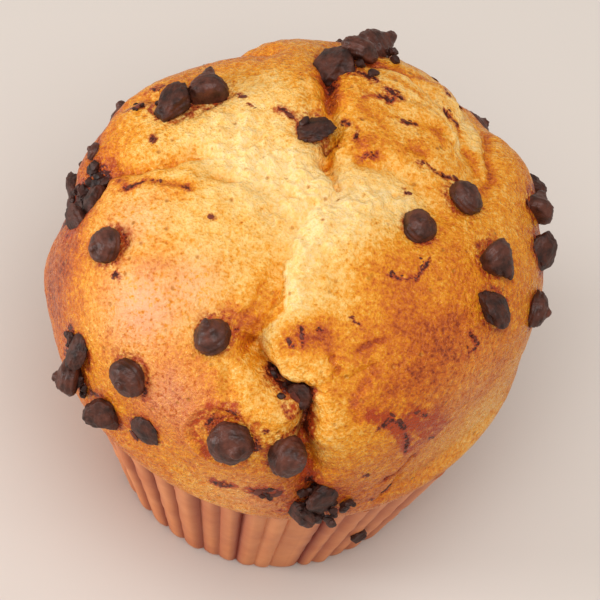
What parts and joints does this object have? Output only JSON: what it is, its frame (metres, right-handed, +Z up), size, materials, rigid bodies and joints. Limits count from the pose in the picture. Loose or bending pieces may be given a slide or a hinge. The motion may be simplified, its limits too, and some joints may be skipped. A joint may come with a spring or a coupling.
{
  "type": "chocolate chip muffin",
  "caption": "Chocolate chip muffin with a domed, cracked top that overhangs its fluted paper case.",
  "frame": {"origin": "middle of the paper case's base, on its underside", "axes": "+Z up along the muffin's own axis; -Y to the front, the side that the picture shows; +X to the right as seen from the front"},
  "size_m": [0.0836, 0.0885, 0.082],
  "materials": {
    "crust": "baked crust with a soft sheen",
    "chocolate": "dull chocolate",
    "paper": "thin baking paper, darkened by the cake"
  },
  "bodies": {
    "root": {"cake": "crust", "paper_case": "paper"}
  },
  "joints": []
}
